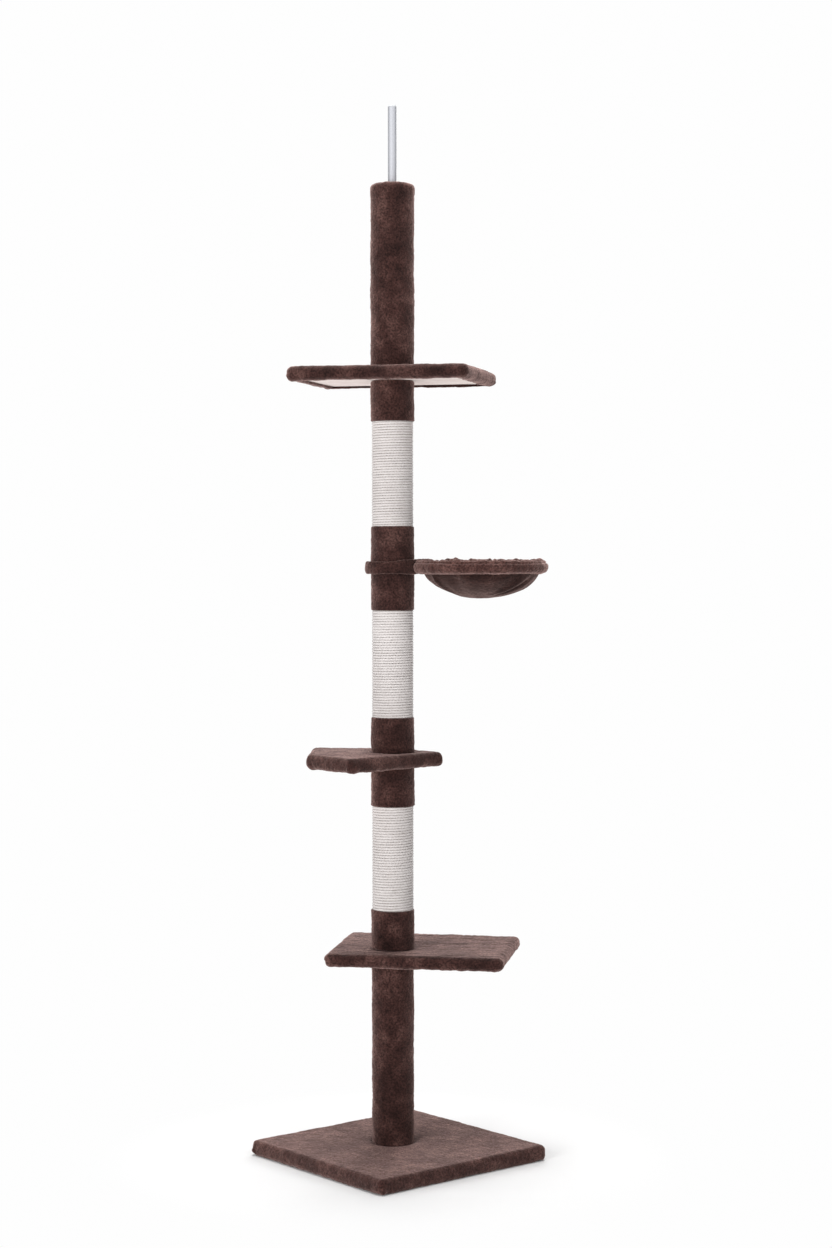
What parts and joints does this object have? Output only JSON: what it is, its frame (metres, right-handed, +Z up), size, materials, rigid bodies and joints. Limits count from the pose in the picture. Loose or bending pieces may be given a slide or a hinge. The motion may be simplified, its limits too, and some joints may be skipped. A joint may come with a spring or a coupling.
{
  "type": "cat tree",
  "caption": "Slim floor-to-ceiling cat tree with plush and sisal posts, swivelling shelves, a round hammock and a sprung ceiling rod.",
  "frame": {"origin": "on the floor, under the base's lining, on the axis of the posts", "axes": "+Z up along the posts, +X towards the middle of the hammock, +Y to the back of the shelves"},
  "size_m": [0.6339, 0.6238, 2.2385],
  "materials": {
    "plush_brown": "matte",
    "sisal_rope": "matte",
    "lining_cream": "matte",
    "chipboard": "matte",
    "plug_wood": "matte",
    "paper_tube": "matte",
    "zinc_steel": "satin",
    "wire_steel": "satin",
    "spring_steel": "satin",
    "rod_steel": "satin",
    "dark_plastic": "matte",
    "pale_plastic": "matte"
  },
  "bodies": {
    "tower": {"base_board": "chipboard", "base_cover": "plush_brown", "base_lining": "lining_cream", "base_bolt": "zinc_steel", "post_1_core": "paper_tube", "post_1_bottom_plug": "plug_wood", "post_1_top_plug": "plug_wood", "post_2_core": "paper_tube", "post_2_bottom_plug": "plug_wood", "post_2_top_plug": "plug_wood", "post_3_core": "paper_tube", "post_3_bottom_plug": "plug_wood", "post_3_top_plug": "plug_wood", "post_4_core": "paper_tube", "post_4_bottom_plug": "plug_wood", "post_4_top_plug": "plug_wood", "post_5_core": "paper_tube", "post_5_bottom_plug": "plug_wood", "post_5_top_plug": "plug_wood", "post_1_cover": "plush_brown", "post_5_cover": "plush_brown", "post_2_lower_collar": "plush_brown", "post_2_sisal": "sisal_rope", "post_2_upper_collar": "plush_brown", "post_3_lower_collar": "plush_brown", "post_3_sisal": "sisal_rope", "post_3_upper_collar": "plush_brown", "post_4_lower_collar": "plush_brown", "post_4_sisal": "sisal_rope", "post_4_upper_collar": "plush_brown", "tee_nuts": "zinc_steel", "shelf_studs": "zinc_steel", "joint_stud": "zinc_steel", "rod_guide": "dark_plastic", "tension_spring": "spring_steel"},
    "lower_shelf": {"lower_shelf_board": "chipboard", "lower_shelf_cover": "plush_brown", "lower_shelf_lining": "lining_cream"},
    "middle_shelf": {"middle_shelf_board": "chipboard", "middle_shelf_cover": "plush_brown", "middle_shelf_lining": "lining_cream"},
    "upper_shelf": {"upper_shelf_board": "chipboard", "upper_shelf_cover": "plush_brown", "upper_shelf_lining": "lining_cream"},
    "hammock": {"hammock_frame": "wire_steel", "hammock_ring_sleeve": "plush_brown", "hammock_rim_sleeve": "plush_brown", "hammock_bowl": "plush_brown"},
    "rod": {"tension_rod": "rod_steel", "rod_slider": "dark_plastic", "rod_end_cap": "pale_plastic"}
  },
  "joints": [
    {"name": "rod_slide", "type": "slide", "parent": "tower", "child": "rod", "axis": [0, 0, 1], "range_m": [-0.12, 0], "stiffness_N_per_m": 1300, "springref_m": 0.05, "deforming": ["tension_spring"]},
    {"name": "lower_shelf_swivel", "type": "hinge", "parent": "tower", "child": "lower_shelf", "pos_m": [0, 0, 0.433], "axis": [0, 0, 1], "continuous": true},
    {"name": "middle_shelf_swivel", "type": "hinge", "parent": "tower", "child": "middle_shelf", "pos_m": [0, 0, 0.8525], "axis": [0, 0, 1], "continuous": true},
    {"name": "upper_shelf_swivel", "type": "hinge", "parent": "tower", "child": "upper_shelf", "pos_m": [0, 0, 1.6675], "axis": [0, 0, 1], "continuous": true},
    {"name": "hammock_swivel", "type": "hinge", "parent": "tower", "child": "hammock", "pos_m": [0, 0, 1.26], "axis": [0, 0, 1], "continuous": true}
  ]
}
